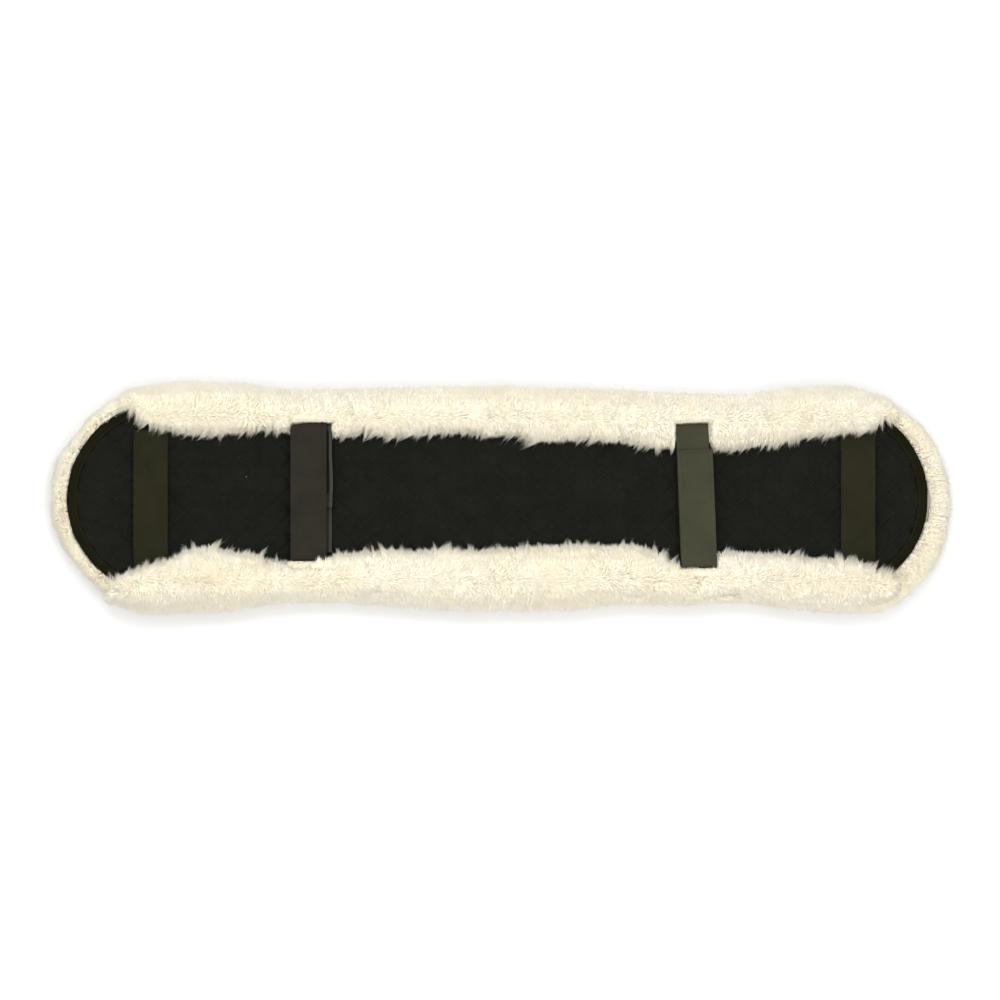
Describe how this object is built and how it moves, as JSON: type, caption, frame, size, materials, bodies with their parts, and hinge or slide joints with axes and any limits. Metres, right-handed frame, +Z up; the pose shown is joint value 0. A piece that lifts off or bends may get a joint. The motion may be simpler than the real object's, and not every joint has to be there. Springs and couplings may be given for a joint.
{
  "type": "sheepskin girth sleeve",
  "caption": "Lambswool sleeve for a saddle girth: quilted panel, wool pile and edge rolls, sewn webbing keepers and hook-and-loop straps that hold the girth.",
  "frame": {"origin": "middle of the bottom of the wool, which is the face the sleeve lies on", "axes": "+X along the sleeve, +Y across it towards the rear roll, +Z up from the wool to the girth side"},
  "size_m": [0.792, 0.196, 0.044],
  "materials": {
    "wool": "natural lambswool pile, matt",
    "hide": "suede flesh side, matt",
    "lining_cloth": "plain cotton",
    "wadding": "polyester wadding",
    "quilt_cloth": "black quilted cotton, matt",
    "dark_thread": "sewing thread",
    "pale_thread": "sewing thread",
    "binding_tape": "twill tape, matt",
    "webbing": "ribbed webbing, slight sheen",
    "loop_tape": "brushed loop pile",
    "hook_tape": "rows of small hooks"
  },
  "bodies": {
    "root": {"underside_wool": "wool", "front_roll_wool": "wool", "rear_roll_wool": "wool", "underside_hide": "hide", "front_roll_hide": "hide", "rear_roll_hide": "hide", "quilt_lining": "lining_cloth", "quilt_wadding": "wadding", "quilt_face_cloth": "quilt_cloth", "quilting_threads": "dark_thread", "left_end_binding": "binding_tape", "right_end_binding": "binding_tape", "left_binding_stitches": "dark_thread", "right_binding_stitches": "dark_thread", "rear_roll_seam": "pale_thread", "front_roll_seam": "pale_thread", "left_outer_keeper": "webbing", "left_keeper_tacks": "dark_thread", "left_sewn_band": "webbing", "left_band_stitches": "dark_thread", "left_loop_tape": "loop_tape", "right_outer_keeper": "webbing", "right_keeper_tacks": "dark_thread", "right_sewn_band": "webbing", "right_band_stitches": "dark_thread", "right_loop_tape": "loop_tape"},
    "left_strap": {"left_flap": "webbing", "left_hook_tape": "hook_tape", "left_flap_stitches": "dark_thread"},
    "right_strap": {"right_flap": "webbing", "right_hook_tape": "hook_tape", "right_flap_stitches": "dark_thread"}
  },
  "joints": [
    {"name": "left_strap_open", "type": "hinge", "parent": "root", "child": "left_strap", "pos_m": [-0.166, -0.051, 0.03645], "axis": [1, 0, 0], "range_deg": [0, 125]},
    {"name": "right_strap_open", "type": "hinge", "parent": "root", "child": "right_strap", "pos_m": [0.17571, -0.05756, 0.03645], "axis": [0.9993, 0.0384, 0], "range_deg": [0, 125]}
  ]
}
